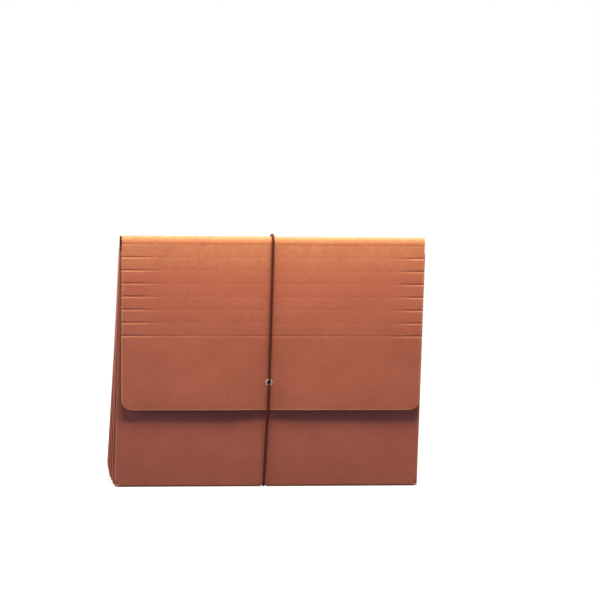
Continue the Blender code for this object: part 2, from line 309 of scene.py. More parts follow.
class WalletElastic(bpy.types.PropertyGroup):
    """Sizes and colours of the elastic and the eyelet."""

    diameter: FloatProperty(
        name="Diameter", description="Thickness of the cord", unit="LENGTH", default=2.7 * MM)
    braid: FloatVectorProperty(
        name="Braid", description="Colour of the braided yarn", subtype="COLOR", default=linear("561C12"))
    # Darker colour between the yarns: painted shade in the braid's grooves.
    groove_shade: FloatVectorProperty(
        name="Groove", description="Colour between the yarns", subtype="COLOR", default=linear("260C08"))
    plait: FloatProperty(
        name="Plait", description="Length of one crossing of the braid", unit="LENGTH", default=2.6 * MM)
    yarns: IntProperty(name="Yarns", description="Yarns each way round the cord", default=4, min=1)
    sides: IntProperty(name="Sides", description="Sides of the cord's tube", default=16, min=8)
    nickel: FloatVectorProperty(
        name="Nickel", description="Colour of the plated eyelet", subtype="COLOR", default=linear("9A9189"))


class WalletStage(bpy.types.PropertyGroup):
    """Camera, floor and light."""

    azimuth: FloatProperty(
        name="Azimuth", description="Camera's turn", subtype="ANGLE", default=math.radians(-10.5))
    elevation: FloatProperty(
        name="Elevation", description="Camera's height", subtype="ANGLE", default=math.radians(13.0))
    roll: FloatProperty(name="Roll", description="Camera's roll", subtype="ANGLE", default=math.radians(2.62))
    distance: FloatProperty(name="Distance", description="Camera's distance", unit="LENGTH", default=3.489)
    lens: FloatProperty(name="Lens", description="Focal length", unit="CAMERA", default=216.0)
    aim: FloatVectorProperty(
        name="Aim", description="Point in the middle of the view", subtype="TRANSLATION",
        default=(0.0286, 0, 0.1813))
    key: FloatProperty(name="Key", description="Power of the overhead light", unit="POWER", default=6.8)
    key_colour: FloatVectorProperty(
        name="Key colour", description="Colour of the overhead light", subtype="COLOR",
        default=linear("FFF4BE"))
    key_place: FloatVectorProperty(
        name="Key place", description="Place of the overhead light", subtype="TRANSLATION",
        default=(0.02, -0.108, 0.6))
    left: FloatProperty(
        name="Left", description="Power of the light from the left", unit="POWER", default=19.0)
    left_place: FloatVectorProperty(
        name="Left place", description="Place of the light from the left", subtype="TRANSLATION",
        default=(-1.25, 0.04, 0.42))
    right: FloatProperty(
        name="Right", description="Power of the light from the right", unit="POWER", default=9.0)
    right_place: FloatVectorProperty(
        name="Right place", description="Place of the light from the right", subtype="TRANSLATION",
        default=(1.25, 0.1, 0.42))
    back: FloatProperty(name="Back", description="Power of the light from behind", unit="POWER", default=14.0)
    back_place: FloatVectorProperty(
        name="Back place", description="Place of the light from behind", subtype="TRANSLATION",
        default=(0.7, 1.1, 0.75))
    fill: FloatProperty(name="Fill", description="Strength of the light from all round", default=0.315)
    fill_colour: FloatVectorProperty(
        name="Fill colour", description="Colour of the light from all round", subtype="COLOR",
        default=linear("94B0FF"))
    floor: FloatVectorProperty(
        name="Floor", description="Colour that the floor casts on the object", subtype="COLOR",
        default=linear("424854"))
    white: FloatProperty(
        name="White", description="How much of its own white the floor shows near the object",
        subtype="FACTOR", default=0.72, min=0, max=1)


def ease(edge, full, value):
    """Run smoothly from 0 at one value to 1 at another."""
    t = min(1.0, max(0.0, (value - edge) / (full - edge)))
    return t * t * (3 - 2 * t)


def stations(first, last, step, fine=()):
    """Places along a line, closer together in each fine zone of a centre, a reach and a step."""
    count = max(1, round((last - first) / step))
    found = [first + (last - first) * i / count for i in range(count + 1)]
    for centre, reach, close in fine:
        half = round(reach / close)
        found += [centre + close * i for i in range(-half, half + 1)]
    kept = [first]
    for place in sorted(found):
        if place - kept[-1] > LEAST_STEP and last - place > LEAST_STEP:
            kept.append(place)
    return kept + [last]


def edge_zones(half, reach):
    """Fine zones at both ends of a line about its middle."""
    return (-half, reach, EDGE_STEP), (half, reach, EDGE_STEP)


def score_zone(line):
    """The fine zone about a score."""
    return line, SCORE_REACH, SCORE_STEP


def bump(distance, width):
    """A smooth hump that is 1 in its middle."""
    return math.exp(-(distance / width) ** 2)


def paper_mesh(us, vs, facing, place, thickness=SHEET, drop=None):
    """Lay a grid on a sheet's outer face and thicken it inwards. Place gives point, the share of the pale
    colour for abrasion and painted highlights, and the share of painted shade.
    """
    work = bmesh.new()
    bmesh.ops.create_grid(work, x_segments=len(us) - 1, y_segments=len(vs) - 1, size=0.5)
    wear_and_highlight = work.verts.layers.float.new("wear_and_highlight")
    painted_shade = work.verts.layers.float.new("painted_shade")
    for vert in work.verts:
        u = us[round((vert.co.x + 0.5) * (len(us) - 1))]
        v = vs[round((vert.co.y + 0.5) * (len(vs) - 1))]
        vert.co, vert[wear_and_highlight], vert[painted_shade] = place(u, v)
    if drop:
        lost = [face for face in work.faces if drop(face.calc_center_median())]
        bmesh.ops.delete(work, geom=lost, context="FACES")
    work.normal_update()
    if sum(face.normal.dot(facing) for face in work.faces) < 0:
        bmesh.ops.reverse_faces(work, faces=work.faces)
    bmesh.ops.solidify(work, geom=work.faces[:], thickness=thickness)
    bmesh.ops.recalc_face_normals(work, faces=work.faces)
    return finished(work)


def finished(work, sharp=45):
    """Turn a bmesh into a smooth mesh with its hard edges kept."""
    mesh = bpy.data.meshes.new("piece")
    work.to_mesh(mesh)
    work.free()
    mesh.shade_smooth()
    mesh.set_sharp_from_angle(angle=math.radians(sharp))
    return mesh


def piece(name, mesh, material, nodes):
    """Add a finished mesh to the scene, for the nodes that it stands for."""
    made = bpy.data.objects.new(name, mesh)
    made.data.materials.append(material)
    bpy.context.scene.collection.objects.link(made)
    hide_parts(*nodes)
    return made


def add(tree, kind, inputs=None, **settings):
    """Add a node with its settings, its values and its links."""
    node = tree.nodes.new(kind)
    for key, value in settings.items():
        setattr(node, key, value)
    for key, value in (inputs or {}).items():
        if isinstance(value, bpy.types.NodeSocket):
            tree.links.new(value, node.inputs[key])
        else:
            node.inputs[key].default_value = value
    return node


def new_material(name, **values):
    """Start a Principled material with the values that are the same all over it."""
    made = bpy.data.materials.new(name)
    made.use_nodes = True
    shader = made.node_tree.nodes["Principled BSDF"]
    for key, value in values.items():
        shader.inputs[key.replace("_", " ")].default_value = value
    return made, made.node_tree, shader


def per_mm(size):
    """Texture scale for a pattern of a size in millimetres."""
    return 1 / (size * MM)


def fibre_paper(paper, name, tone=1.0):
    """Calendered red fibre board: matt, clouded pulp with pale fibres and dark specks, paler where abraded
    along edges and folds, with painted highlights in the same pale colour and painted shade in the scores and
    pleat valleys.
    """
    made, tree, shader = new_material(name, IOR=1.45, Specular_IOR_Level=0.35)
    where = add(tree, "ShaderNodeTexCoord").outputs["Object"]
    cloud = add(tree, "ShaderNodeTexNoise", {
        "Vector": where, "Scale": per_mm(26), "Detail": 4, "Roughness": 0.6})
    lying = add(tree, "ShaderNodeMapping", {"Vector": where, "Scale": (0.35, 1, 1)})
    fibre = add(tree, "ShaderNodeTexNoise", {
        "Vector": lying.outputs["Vector"], "Scale": per_mm(1.1), "Detail": 5, "Roughness": 0.7})
    # The real specks are finer than a pixel, so they are drawn 2 mm apart.
    speck = add(tree, "ShaderNodeTexNoise", {"Vector": where, "Scale": per_mm(2.0), "Detail": 2})
    patchy = add(tree, "ShaderNodeTexNoise", {"Vector": where, "Scale": per_mm(5), "Detail": 3})
    cloud_share = add(tree, "ShaderNodeMapRange", {
        "Value": cloud.outputs["Fac"], "From Min": 0.35, "From Max": 0.68})
    fibre_share = add(tree, "ShaderNodeMapRange", {
        "Value": fibre.outputs["Fac"], "From Min": 0.52, "From Max": 0.78, "To Max": 0.5})
    speck_share = add(tree, "ShaderNodeMapRange", {
        "Value": speck.outputs["Fac"], "From Min": 0.64, "From Max": 0.76, "To Max": 0.5})
    # This attribute carries abrasion and painted highlights together.
    wear_and_highlight = add(tree, "ShaderNodeAttribute", attribute_name="wear_and_highlight")
    wear_and_highlight_share = add(tree, "ShaderNodeMath", {
        0: wear_and_highlight.outputs["Fac"], 1: patchy.outputs["Fac"]}, operation="MULTIPLY")
    # This attribute is painted shade, in the scores and the pleats' valleys.
    painted_shade = add(tree, "ShaderNodeAttribute", attribute_name="painted_shade")
    # A tone below 1 draws a darker copy of the paper; the gussets' copy is painted shade.
    colour = tuple(c * tone for c in paper.face) + (1,)
    layers = (
        (cloud_share.outputs["Result"], tuple(c * tone for c in paper.shade)),
        (fibre_share.outputs["Result"], paper.fibre),
        (speck_share.outputs["Result"], paper.speck),
        # The pale layer: abrasion, and painted highlights where light catches edges, the crown, score lips,
        # creases and ridges.
        (wear_and_highlight_share.outputs["Value"], paper.rubbed_and_highlight),
        # Painted shade in the scores and the pleats' valleys, in the speck colour.
        (painted_shade.outputs["Fac"], paper.speck),
    )
    for share, layer in layers:
        mixed = add(tree, "ShaderNodeMix", {"Factor": share, "A": colour, "B": (*layer, 1)}, data_type="RGBA")
        colour = mixed.outputs["Result"]
    tree.links.new(colour, shader.inputs["Base Color"])
    matt = add(tree, "ShaderNodeMapRange", {"Value": fibre.outputs["Fac"], "To Min": 0.62, "To Max": 0.84})
    tree.links.new(matt.outputs["Result"], shader.inputs["Roughness"])
    grain = add(tree, "ShaderNodeBump", {
        "Height": fibre.outputs["Fac"], "Strength": 0.22, "Distance": 0.25 * MM})
    tree.links.new(grain.outputs["Normal"], shader.inputs["Normal"])
    return made


def braided_elastic(elastic):
    """Rubber cord in a braided cotton sleeve: dull, with yarns crossing round it."""
    made, tree, shader = new_material("braided_elastic", Roughness=0.85, IOR=1.5, Specular_IOR_Level=0.25)
    uv = add(tree, "ShaderNodeUVMap", uv_map="cord")
    split = add(tree, "ShaderNodeSeparateXYZ", {"Vector": uv.outputs["UV"]})
    turns = add(tree, "ShaderNodeMath", {
        0: split.outputs["X"], 1: elastic.yarns * math.tau}, operation="MULTIPLY")
    along = add(tree, "ShaderNodeMath", {
        0: split.outputs["Y"], 1: math.tau / elastic.plait}, operation="MULTIPLY")
    crossing = []
    for way in ("ADD", "SUBTRACT"):
        slant = add(tree, "ShaderNodeMath", {
            0: turns.outputs["Value"], 1: along.outputs["Value"]}, operation=way)
        ridge = add(tree, "ShaderNodeMath", {0: slant.outputs["Value"]}, operation="SINE")
        crossing.append(ridge.outputs["Value"])
    yarn = add(tree, "ShaderNodeMath", {0: crossing[0], 1: crossing[1]}, operation="MAXIMUM")
    share = add(tree, "ShaderNodeMapRange", {
        "Value": yarn.outputs["Value"], "From Min": -0.6, "From Max": 0.9})
    # Painted shade: the grooves between the yarns take the darker colour.
    colour = add(tree, "ShaderNodeMix", {
        "Factor": share.outputs["Result"], "A": (*elastic.groove_shade, 1), "B": (*elastic.braid, 1)},
        data_type="RGBA")
    tree.links.new(colour.outputs["Result"], shader.inputs["Base Color"])
    raised = add(tree, "ShaderNodeBump", {
        "Height": share.outputs["Result"], "Strength": 0.5, "Distance": 0.2 * MM})
    tree.links.new(raised.outputs["Normal"], shader.inputs["Normal"])
    return made


def nickel_plate(elastic):
    """Nickel-plated brass, stamped: bright, with fine scuffs that blur the highlights."""
    made, tree, shader = new_material("nickel_plate", Metallic=1.0)
    where = add(tree, "ShaderNodeTexCoord").outputs["Object"]
    scuff = add(tree, "ShaderNodeTexNoise", {"Vector": where, "Scale": per_mm(0.6), "Detail": 4})
    blur = add(tree, "ShaderNodeMapRange", {"Value": scuff.outputs["Fac"], "To Min": 0.2, "To Max": 0.42})
    tint = add(tree, "ShaderNodeMapRange", {
        "Value": scuff.outputs["Fac"], "From Min": 0.3, "From Max": 0.7, "To Min": 0.8, "To Max": 1.0})
    colour = add(tree, "ShaderNodeMix", {
        "Factor": 1.0, "A": (*elastic.nickel, 1), "B": tint.outputs["Result"]},
        data_type="RGBA", blend_type="MULTIPLY")
    tree.links.new(colour.outputs["Result"], shader.inputs["Base Color"])
    tree.links.new(blur.outputs["Result"], shader.inputs["Roughness"])
    return made


def panel_paper():
    """The paper of the panels and the flap, made once."""
    return bpy.data.materials.get("red_fibre_paper") or fibre_paper(
        bpy.context.scene.wallet_paper, "red_fibre_paper")


def wave(point, seed):
    """How far a panel is out of flat at a point."""
    shifted = point * per_mm(WAVE_SIZE) + Vector((seed, seed, seed))
    return bpy.context.scene.wallet_paper.wave * noise.noise(shifted)


def dent(x):
    """How far the elastic presses a lower edge up."""
    return DENT_HEIGHT * bump(x - CORD_BASE_X, DENT_WIDTH)


def corner_limit(half, radius, rise):
    """Half width of a sheet at a height above its rounded corners' lowest point."""
    if rise >= radius:
        return half
    gone = max(0.0, radius - max(0.0, rise))
    return half - radius + math.sqrt(max(0.0, radius ** 2 - gone ** 2))


def upright_panel(foot, up, out, height, seed):
    """A large panel with a rounded fold along its base, pressed corners and a dent for the elastic."""
    lift = (FOLD_RADIUS * (1 + math.sin(LEAN)) + FOLD_CLEAR) / math.cos(LEAN)
    centre = foot + up * lift - out * FOLD_RADIUS
    sweep = math.pi / 2 + LEAN
    arc = FOLD_RADIUS * sweep
    inwards = Vector((0, -math.copysign(1, out.y), 0))

    def place(u, v):
        inset = HALF_WIDTH - abs(u)
        if v >= lift:
            point = foot + up * v
            crease = 1 - (inset + v) / CORNER_CREASE
            calm = ease(height, height - CALM_TOP, v) * ease(0, CALM_FOOT, v)
            point += out * (wave(Vector((u, 0, v)), seed) * calm - CREASE_DEPTH * max(0.0, crease))
        else:
            turn = min(sweep, (lift - v) / FOLD_RADIUS)
            point = centre + FOLD_RADIUS * (out * math.cos(turn) - up * math.sin(turn))
            point += inwards * max(0.0, lift - v - arc)
        x = u * corner_limit(HALF_WIDTH, CORNER_RADIUS, point.z + CORNER_FOOT) / HALF_WIDTH
        point += Vector((x, 0, dent(u) * (1 - ease(0, DENT_FADE, v))))
        wear_and_highlight = PANEL_EDGE_WEAR * ease(PANEL_EDGE_BAND, 0, inset) + FOLD_WEAR * ease(*FOLD_BAND, v)
        # Painted highlight along the diagonal corner crease.
        wear_and_highlight += CREASE_HIGHLIGHT * bump(inset - v, CREASE_WIDTH) * ease(*CREASE_BAND, v)
        return point, wear_and_highlight, 0.0

    us = stations(-HALF_WIDTH, HALF_WIDTH, GRID_STEP, (DENT_ZONE, *edge_zones(HALF_WIDTH, CORNER_REACH)))
    vs = stations(lift - arc - FOLD_RUN, height, GRID_STEP, (FOLD_ZONE,))
    return paper_mesh(us, vs, out, place)


def base_mesh():
    """The bottom panel, creased up over the elastic."""
    half = HALF_WIDTH - BASE_INSET
    depth = HALF_DEPTH - FOLD_RADIUS - FOLD_RUN - LEAF_GAP

    def place(u, v):
        x = u * (1 - BASE_CORNER_INSET / half * ease(depth - BASE_CORNER, depth, abs(v)))
        return Vector((x, v, SHEET + FOLD_CLEAR + dent(u))), 0.0, 0.0

    us = stations(-half, half, BASE_STEP, (DENT_ZONE,))
    vs = stations(-depth, depth, BASE_STEP)
    return paper_mesh(us, vs, UP, place)


def inner_y(z):
    """How far a panel's inner face stands from the middle at a height."""
    return HALF_DEPTH - SHEET / math.cos(LEAN) - z * math.tan(LEAN)


def leaf_mesh(side, number):
    """One gusset leaf with the rounded fold that takes it over to the next leaf."""
    outwards = number % 2 == 0
    swing = 1 if outwards else -1
    fold = LEAF_PITCH / 2

    def place(u, v):
        across = min(1.0, u / PLEAT_WIDTH)
        outside = across if outwards else 1 - across
        foot = SHEET + LEAF_GAP + PLEAT_FOOT * outside
        z = foot + (LEAF_TOP - foot) * v
        slant = (2 * inner_y(z) - MOUTH) / LEAVES
        y = inner_y(z) - LEAF_PITCH - (number - 1) * (slant + LEAF_PITCH) - slant * across
        rear = 0.5 + y / (2 * HALF_DEPTH)
        swell = PLEAT_SWELL * (1 - z / LEAF_TOP) * rear * ease(0, PLEAT_SWELL_FOOT, z)
        x = HALF_WIDTH - PLEAT_WIDTH * (1 - outside) + swell * outside
        past = max(0.0, u - PLEAT_WIDTH) / fold
        x += swing * fold * math.sin(past)
        y -= fold * (1 - math.cos(past))
        uneven = noise.noise(Vector((
            number + PLEAT_SEED * side, u * per_mm(PLEAT_PATCH_ACROSS), z * per_mm(PLEAT_PATCH_UP))))
        y += PLEAT_BOW * uneven * math.sin(math.pi * across)
        # Pale ridge: abrasion and a painted highlight.
        ridge = ease(RIDGE_BAND, 0, PLEAT_WIDTH * (1 - outside))
        # Painted shade in the valley between leaves.
        valley = ease(*VALLEY_BAND, outside)
        return Vector((side * x, y, z)), RIDGE_WEAR_AND_HIGHLIGHT * ridge, VALLEY_DARK * valley

    us = [PLEAT_WIDTH * i / LEAF_COLUMNS for i in range(LEAF_COLUMNS + 1)]
    if number < LEAVES:
        us += [PLEAT_WIDTH + fold * math.pi * i / LEAF_COLUMNS for i in range(1, LEAF_COLUMNS + 1)]
    vs = [i / LEAF_ROWS for i in range(LEAF_ROWS + 1)]
    return paper_mesh(us, vs, -FRONT_TO_BACK, place, LEAF_SHEET)


def on_flap(x, down, out=0.0):
    """A point on the flap's outer face, by its distance below the first score. The left edge runs in."""
    run_in = FLAP_RUN_IN * max(0.0, -x) / HALF_FLAP * down / FLAP_LENGTH
    return FIRST_SCORE + ACROSS * (x + run_in) + DOWN * down + OUT * (SHEET + out)


def score_mark(u, distance, last=False):
    """Depth, painted shade and share of a pressed score at a distance from its line. The last is fuller."""
    paper = bpy.context.scene.wallet_paper
    reach = paper.score_reach * (1.0 if u < 0 else SCORE_RIGHT)
    ends = ease(HALF_FLAP - reach, HALF_FLAP - SCORE_ENDS, abs(u))
    middle = LAST_SCORE_MIDDLE if last else paper.score_middle
    uneven = SCORE_MEAN + SCORE_SPREAD * noise.noise(Vector((u * per_mm(SCORE_PATCH), 0, SCORE_SEED)))
    share = middle * uneven + (1 - middle) * ends
    depth = share * bump(distance, paper.score_width) * paper.score_depth
    return depth, share * bump(distance, SCORE_DARK_WIDTH), share


def flap_edge(u):
    """How near a place is to the flap's side edges."""
    return ease(HALF_FLAP - EDGE_BAND, HALF_FLAP, abs(u))


def flap_wave(u, v):
    """How far the flap is out of flat."""
    return FLAP_WAVE * wave(Vector((u, 0, v)), FLAP_SEED)


def strip_columns():
    """Columns across the flap, closer at its edges."""
    return stations(-HALF_FLAP, HALF_FLAP, GRID_STEP, edge_zones(HALF_FLAP, STRIP_EDGE_REACH))


def strip_mesh(number):
    """One strip of the flap between two pressed scores, slightly full in its middle."""
    top = (number - 1) * PITCH
    low = number * PITCH
    strength = FIRST_SCORE_SHARE if number == 1 else 1.0

    def place(u, v):
        # dark_top and dark_low are painted shade in the scores.
        deep_top, dark_top, share = (strength * part for part in score_mark(u, v - top))
        deep_low, dark_low, _ = score_mark(u, low - v, number == STRIPS)
        full = STRIP_FULL * math.sin(math.pi * (v - top) / PITCH)
        point = on_flap(u, v, full - deep_top - deep_low + flap_wave(u, v))
        # Painted light: the top strips are paler, fading down the flap.
        top_highlight = TOP_STRIPS_HIGHLIGHT * ease(TOP_STRIPS * PITCH, 0, v)
        # Painted highlight on the lip below the upper score.
        lip = STRIP_LIP_HIGHLIGHT * share * bump(v - top - LIP_BELOW, LIP_WIDTH)
        # Pale flap edges: abrasion and a painted highlight.
        return point, max(EDGE_WEAR_AND_HIGHLIGHT * flap_edge(u), top_highlight) + lip, SCORE_DARK * max(dark_top, dark_low)

    vs = stations(top, low, STRIP_STEP, (score_zone(top), score_zone(low)))
    return paper_mesh(strip_columns(), vs, OUT, place)


def tongue_mesh():
    """The flap's plain end, with rounded corners, a hole for the eyelet and a lower edge that lifts."""
    top = STRIPS * PITCH
    low = top + TONGUE_LENGTH

    def place(u, v):
        # dark is painted shade in the last score.
        deep, dark, share = score_mark(u, v - top, True)
        x = u * corner_limit(HALF_FLAP, TONGUE_CORNER, low - v) / HALF_FLAP
        lift = TONGUE_LIFT * ease(low - LIFT_REACH, low, v) * ease(*LIFT_BESIDE_CORD, abs(u - CORD_BASE_X))
        flat = ease(*CALM_ROUND_EYELET, Vector((u - EYELET.x, v - EYELET_DOWN)).length)
        point = on_flap(x, v, lift - deep + flap_wave(u, v) * flat)
        # Pale side edges and hem: abrasion and a painted highlight.
        hem = ease(low - EDGE_BAND, low, v)
        # Painted highlight on the lip below the last score.
        lip = TONGUE_LIP_HIGHLIGHT * share * bump(v - top - LIP_BELOW, LIP_WIDTH)
        return point, EDGE_WEAR_AND_HIGHLIGHT * max(flap_edge(u), hem) + lip, SCORE_DARK * dark

    def in_bore(point):
        return (point - EYELET).length < EYELET_BORE / 2 + BORE_MARGIN

    us = stations(-HALF_FLAP, HALF_FLAP, GRID_STEP, (
        (EYELET.x, EYELET_REACH, EYELET_STEP), *edge_zones(HALF_FLAP, CORNER_REACH)))
    vs = stations(top, low, TONGUE_STEP, (
        score_zone(top), (EYELET_DOWN, EYELET_REACH, EYELET_STEP), (low, HEM_REACH, HEM_STEP)))
    return paper_mesh(us, vs, OUT, place, drop=in_bore)


def bend_point(share, out=0.0):
    """A point round the flap's rather flat bend, from its back edge at 0 to its front edge at 1."""
    reach = BEND_RADIUS + SHEET / 2 + out
    square = 2 / BEND_POWER
    along = math.cos(math.pi * share)
    wide = math.copysign(abs(along) ** square, along)
    high = abs(math.sin(math.pi * share)) ** square
    low = math.sin(LEAN)
    from_centre = Vector((0, wide * math.cos(LEAN), low + (1 - low) * high)) * reach
    return BEND_CENTRE + from_centre + UP * BEND_RISE * high


def bend_mesh():
    """The bend over the top, pale along its crown and front shoulder from abrasion and a painted highlight.
    Its rear half is as wide as the back panel.
    """
    wider = HALF_WIDTH / HALF_FLAP - 1

    def place(u, v):
        # Pale crown and shoulder: abrasion and a painted highlight.
        crown = CROWN_WEAR_AND_HIGHLIGHT * bump(v - CROWN_PLACE, CROWN_WIDTH)
        shoulder = SHOULDER_WEAR_AND_HIGHLIGHT * ease(*SHOULDER_BAND, v)
        x = u * (1 + wider * ease(*BEND_NARROWS, v))
        # Pale side edges of the bend: abrasion and a painted highlight.
        return bend_point(v) + ACROSS * x, max(EDGE_WEAR_AND_HIGHLIGHT * flap_edge(u), crown, shoulder), 0.0

    return paper_mesh(strip_columns(), [i / BEND_ROWS for i in range(BEND_ROWS + 1)], UP, place)


def on_back(height, out):
    """A point beside the back panel."""
    return BACK_FOOT + BACK_UP * height + BACK_OUT * out


def on_front(height, out):
    """A point beside the front panel."""
    return FRONT_FOOT - DOWN * height + OUT * out


def under_base(y, radius):
    """A point of the cord under the bottom panel."""
    return Vector((CORD_BASE_X, y, radius + CORD_UNDER))


def down_flap(first, last, lie):
    """Points of the cord straight down the flap."""
    count = max(2, round((last - first) / CORD_SPACING))
    return [on_flap(EYELET.x, first + (last - first) * i / count, lie) for i in range(count + 1)]


def into_eyelet(way, lie):
    """Points of the cord from the flap's face into the eyelet, from above with -1 or from below with 1."""
    over = EYELET_LIP + lie
    dips = ((5 * MM, over), (1.8 * MM, 0.8 * over), (0.8 * MM, 0), (0.75 * MM, -1 * MM))
    return [on_flap(EYELET.x, EYELET_DOWN + way * away, out) for away, out in dips]


def thinned(share):
    """The cord's thickness along a run that ends in the eyelet."""
    return 1 - CORD_THINS * ease(CORD_THINS_FROM, 1.0, share)


def smooth_path(points, step):
    """Read points from a smooth curve through a route."""
    padded = [2 * points[0] - points[1]] + points + [2 * points[-1] - points[-2]]
    read = []
    for before, first, second, after in zip(padded, padded[1:], padded[2:], padded[3:]):
        span = (second - first).length
        pull_in = (second - before) * span / (span + (first - before).length)
        pull_out = (after - first) * span / (span + (after - second).length)
        count = max(2, round(span / step))
        for i in range(count):
            t = i / count
            read.append(
                first * (2 * t ** 3 - 3 * t ** 2 + 1)
                + pull_in * (t ** 3 - 2 * t ** 2 + t)
                + second * (3 * t ** 2 - 2 * t ** 3)
                + pull_out * (t ** 3 - t ** 2)
            )
    return read + [points[-1]]


def cord_mesh(points, radius, step=CORD_STEP, taper=None):
    """Sweep a round section along a path, with a map of turns and metres for the braid."""
    sides = bpy.context.scene.wallet_elastic.sides
    path = smooth_path(points, step)
    work = bmesh.new()
    bmesh.ops.create_circle(work, cap_ends=True, segments=sides, radius=radius)
    faces = work.faces[:]
    side = ACROSS
    marks = {}
    travelled = 0.0
    for number, place in enumerate(path):
        before = path[max(number - 1, 0)]
        ahead = (path[min(number + 1, len(path) - 1)] - before).normalized()
        side = (side - ahead * side.dot(ahead)).normalized()
        turn = Matrix((side, ahead.cross(side), ahead)).transposed()
        travelled += (place - before).length
        if number > 0:
            grown = bmesh.ops.extrude_face_region(work, geom=faces)["geom"]
            # The first face closes the cord's end. The later ones would be left inside it.
            if number > 1:
                bmesh.ops.delete(work, geom=faces, context="FACES_ONLY")
            faces = [item for item in grown if isinstance(item, bmesh.types.BMFace)]
        size = radius * (taper(number / (len(path) - 1)) if taper else 1.0)
        for i, vert in enumerate(list(faces[0].verts)):
            angle = math.tau * i / sides
            vert.co = place + turn @ Vector((math.cos(angle) * size, math.sin(angle) * size, 0))
            marks[vert] = (i, travelled)
    bmesh.ops.recalc_face_normals(work, faces=work.faces)
    layer = work.loops.layers.uv.new("cord")
    for face in work.faces:
        spots = [marks[loop.vert] for loop in face.loops]
        wraps = max(s[0] for s in spots) - min(s[0] for s in spots) > sides / 2
        for loop, (i, along) in zip(face.loops, spots):
            loop[layer].uv = ((i + (sides if wraps and i == 0 else 0)) / sides, along)
    return finished(work, sharp=60)


class WALLET_OT_panels(bpy.types.Operator):
    """Make the back, front and bottom panels"""

    bl_idname = "wallet.panels"
    bl_label = "Panels"

    def execute(self, context):
        paper = panel_paper()
        sheet = upright_panel(BACK_FOOT, BACK_UP, BACK_OUT, BACK_HEIGHT, BACK_SEED)
        back = piece("back_sheet", sheet, paper, ["back_panel"])
        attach(back, "pocket")
        sheet = upright_panel(FRONT_FOOT, -DOWN, OUT, FRONT_HEIGHT, FRONT_SEED)
        front = piece("front_sheet", sheet, paper, ["front_panel"])
        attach(front, "front")
        base = piece("base_sheet", base_mesh(), paper, ["bottom_panel"])
        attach(base, "pocket")
        return {"FINISHED"}


class WALLET_OT_gussets(bpy.types.Operator):
    """Make the pleated leaves of both gussets"""

    bl_idname = "wallet.gussets"
    bl_label = "Gussets"

    def execute(self, context):
        # A darker copy of the paper for the gussets: painted shade.
        paper = fibre_paper(context.scene.wallet_paper, "gusset_fibre_paper", GUSSET_PAINTED_SHADE)
        for side, word in ((-1, "left"), (1, "right")):
            for number in range(1, LEAVES + 1):
                name = f"{word}_pleat_leaf_{number}"
                node = f"{word}_gusset_leaf_{number}"
                leaf = piece(name, leaf_mesh(side, number), paper, [node])
                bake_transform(leaf)
        return {"FINISHED"}


class WALLET_OT_flap(bpy.types.Operator):
    """Make the flap's bend, scored strips and tongue"""

    bl_idname = "wallet.flap"
    bl_label = "Flap"

    def execute(self, context):
        paper = panel_paper()
        bend = piece("bend_sheet", bend_mesh(), paper, ["flap_bend"])
        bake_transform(bend)
        upper, middle, lower = FOLDED_SCORES
        bodies = ["flap_upper"] * upper
        bodies += ["flap_middle"] * (middle - upper)
        bodies += ["flap_lower"] * (lower - middle)
        for number, body in enumerate(bodies, 1):
            node = f"flap_strip_{number}"
            strip = piece(f"scored_strip_{number}", strip_mesh(number), paper, [node])
            self.hang(strip, number - 1, bodies[max(0, number - 2)], body)
        tongue = piece("tongue_sheet", tongue_mesh(), paper, ["flap_tongue"])
        self.hang(tongue, STRIPS, bodies[-1], "tongue")
        return {"FINISHED"}

    def hang(self, sheet, scores_above, above, body):
        """Carry a sheet on its body where the score above it is no joint; otherwise only bake its place into
        its mesh.
        """
        if above == body:
            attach(sheet, body)
            return
        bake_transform(sheet)


class WALLET_OT_eyelet(bpy.types.Operator):
    """Make the plated eyelet"""

    bl_idname = "wallet.eyelet"
    bl_label = "Eyelet"

    def execute(self, context):
        bore, flange, roll = EYELET_BORE / 2, EYELET_FLANGE / 2, EYELET_ROLL / 2
        front = SHEET + EYELET_SEAT
        crown = front + EYELET_LIP
        rear = -EYELET_LIP
        profile = [
            (bore, front),
            (bore + 0.15 * MM, crown - 0.15 * MM),
            (bore + 0.5 * MM, crown),
            (flange - 0.7 * MM, crown - 0.05 * MM),
            (flange - 0.2 * MM, front + 0.2 * MM),
            (flange, front),
            (bore + EYELET_WALL, front),
            (bore + EYELET_WALL, -EYELET_SEAT),
            (roll, -EYELET_SEAT),
            (roll - 0.1 * MM, rear + 0.1 * MM),
            (roll - 0.4 * MM, rear),
            (bore + 0.3 * MM, rear),
            (bore, rear + 0.3 * MM),
        ]
        work = bmesh.new()
        verts = [work.verts.new((radius, 0, height)) for radius, height in profile]
        edges = [work.edges.new(pair) for pair in zip(verts, verts[1:] + verts[:1])]
        bmesh.ops.spin(work, geom=verts + edges, cent=(0, 0, 0), axis=(0, 0, 1), angle=math.tau,
                       steps=EYELET_SIDES, use_merge=True, use_duplicate=False)
        bmesh.ops.remove_doubles(work, verts=work.verts, dist=EYELET_MERGE)
        bmesh.ops.recalc_face_normals(work, faces=work.faces)
        stand = Matrix((ACROSS, -DOWN, OUT)).transposed().to_4x4()
        seat = on_flap(EYELET.x, EYELET_DOWN) - OUT * SHEET
        bmesh.ops.transform(work, matrix=Matrix.Translation(seat) @ stand, verts=work.verts)
        nickel = nickel_plate(context.scene.wallet_elastic)
        ring = piece("plated_eyelet", finished(work, sharp=40), nickel, ["eyelet"])
        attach(ring, "tongue")
        return {"FINISHED"}


